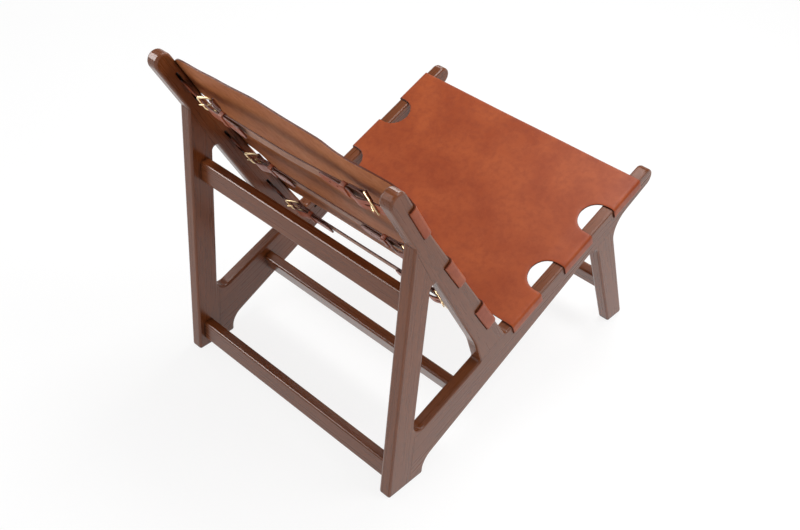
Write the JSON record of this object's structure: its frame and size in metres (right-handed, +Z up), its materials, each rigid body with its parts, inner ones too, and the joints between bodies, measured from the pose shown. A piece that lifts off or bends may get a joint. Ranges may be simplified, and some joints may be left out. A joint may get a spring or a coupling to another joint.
{
  "type": "sling lounge chair",
  "caption": "Low lounge chair: two wooden side frames carry a saddle leather seat and back, drawn tight behind and below by buckled belts.",
  "frame": {"origin": "on the floor, below the middle of the chair's bounding box", "axes": "+Z up, -Y the way the sitter looks, +X the sitter's left"},
  "size_m": [0.5906, 0.7918, 0.7113],
  "materials": {
    "walnut": "satin lacquer over walnut stain",
    "saddle_leather": "cognac tan, smooth grain",
    "strap_leather": "dark brown, waxed",
    "keeper_leather": "orange brown, smooth",
    "brass": "polished, pale"
  },
  "bodies": {
    "chair": {"left_back_upright": "walnut", "right_back_upright": "walnut", "left_rear_leg": "walnut", "right_rear_leg": "walnut", "left_seat_rail": "walnut", "right_seat_rail": "walnut", "left_front_leg": "walnut", "right_front_leg": "walnut", "back_rail": "walnut", "rear_stretcher": "walnut", "seat_stretcher": "walnut", "front_stretcher": "walnut", "back_sling": "saddle_leather", "seat_sling": "saddle_leather", "back_strap_1": "strap_leather", "back_keeper_1_left": "keeper_leather", "back_buckle_1_left": "brass", "back_keeper_1_right": "keeper_leather", "back_buckle_1_right": "brass", "back_strap_2": "strap_leather", "back_keeper_2_left": "keeper_leather", "back_buckle_2_left": "brass", "back_keeper_2_right": "keeper_leather", "back_buckle_2_right": "brass", "back_strap_3": "strap_leather", "back_keeper_3_left": "keeper_leather", "back_buckle_3_left": "brass", "back_keeper_3_right": "keeper_leather", "back_buckle_3_right": "brass", "seat_strap_1": "strap_leather", "seat_keeper_1_left": "keeper_leather", "seat_buckle_1_left": "brass", "seat_keeper_1_right": "keeper_leather", "seat_buckle_1_right": "brass", "seat_strap_2": "strap_leather", "seat_keeper_2_left": "keeper_leather", "seat_buckle_2_left": "brass", "seat_keeper_2_right": "keeper_leather", "seat_buckle_2_right": "brass", "seat_strap_3": "strap_leather", "seat_keeper_3_left": "keeper_leather", "seat_buckle_3_left": "brass", "seat_keeper_3_right": "keeper_leather", "seat_buckle_3_right": "brass"},
    "back_prong_1_left": {"back_prong_1_left": "brass"},
    "back_prong_1_right": {"back_prong_1_right": "brass"},
    "back_prong_2_left": {"back_prong_2_left": "brass"},
    "back_prong_2_right": {"back_prong_2_right": "brass"},
    "back_prong_3_left": {"back_prong_3_left": "brass"},
    "back_prong_3_right": {"back_prong_3_right": "brass"},
    "seat_prong_1_left": {"seat_prong_1_left": "brass"},
    "seat_prong_1_right": {"seat_prong_1_right": "brass"},
    "seat_prong_2_left": {"seat_prong_2_left": "brass"},
    "seat_prong_2_right": {"seat_prong_2_right": "brass"},
    "seat_prong_3_left": {"seat_prong_3_left": "brass"},
    "seat_prong_3_right": {"seat_prong_3_right": "brass"}
  },
  "joints": [
    {"name": "back_prong_1_left_hinge", "type": "hinge", "parent": "chair", "child": "back_prong_1_left", "pos_m": [0.18695, 0.33624, 0.62862], "axis": [0, 0.5015, 0.8652], "range_deg": [0, 10]},
    {"name": "back_prong_1_right_hinge", "type": "hinge", "parent": "chair", "child": "back_prong_1_right", "pos_m": [-0.18695, 0.33624, 0.62862], "axis": [0, -0.5015, -0.8652], "range_deg": [0, 10]},
    {"name": "back_prong_2_left_hinge", "type": "hinge", "parent": "chair", "child": "back_prong_2_left", "pos_m": [0.18695, 0.23847, 0.4688], "axis": [0, 0.549, 0.8358], "range_deg": [0, 10]},
    {"name": "back_prong_2_right_hinge", "type": "hinge", "parent": "chair", "child": "back_prong_2_right", "pos_m": [-0.18695, 0.23847, 0.4688], "axis": [0, -0.549, -0.8358], "range_deg": [0, 10]},
    {"name": "back_prong_3_left_hinge", "type": "hinge", "parent": "chair", "child": "back_prong_3_left", "pos_m": [0.18695, 0.14069, 0.30989], "axis": [0, 0.549, 0.8358], "range_deg": [0, 10]},
    {"name": "back_prong_3_right_hinge", "type": "hinge", "parent": "chair", "child": "back_prong_3_right", "pos_m": [-0.18695, 0.14069, 0.30989], "axis": [0, -0.549, -0.8358], "range_deg": [0, 10]},
    {"name": "seat_prong_1_left_hinge", "type": "hinge", "parent": "chair", "child": "seat_prong_1_left", "pos_m": [0.18695, -0.01211, 0.22516], "axis": [0, 0.9269, -0.3754], "range_deg": [0, 10]},
    {"name": "seat_prong_1_right_hinge", "type": "hinge", "parent": "chair", "child": "seat_prong_1_right", "pos_m": [-0.18695, -0.01211, 0.22516], "axis": [0, -0.9269, 0.3754], "range_deg": [0, 10]},
    {"name": "seat_prong_2_left_hinge", "type": "hinge", "parent": "chair", "child": "seat_prong_2_left", "pos_m": [0.18695, -0.16272, 0.28616], "axis": [0, 0.9269, -0.3754], "range_deg": [0, 10]},
    {"name": "seat_prong_2_right_hinge", "type": "hinge", "parent": "chair", "child": "seat_prong_2_right", "pos_m": [-0.18695, -0.16272, 0.28616], "axis": [0, -0.9269, 0.3754], "range_deg": [0, 10]},
    {"name": "seat_prong_3_left_hinge", "type": "hinge", "parent": "chair", "child": "seat_prong_3_left", "pos_m": [0.18695, -0.31333, 0.34717], "axis": [0, 0.9269, -0.3754], "range_deg": [0, 10]},
    {"name": "seat_prong_3_right_hinge", "type": "hinge", "parent": "chair", "child": "seat_prong_3_right", "pos_m": [-0.18695, -0.31333, 0.34717], "axis": [0, -0.9269, 0.3754], "range_deg": [0, 10]}
  ]
}
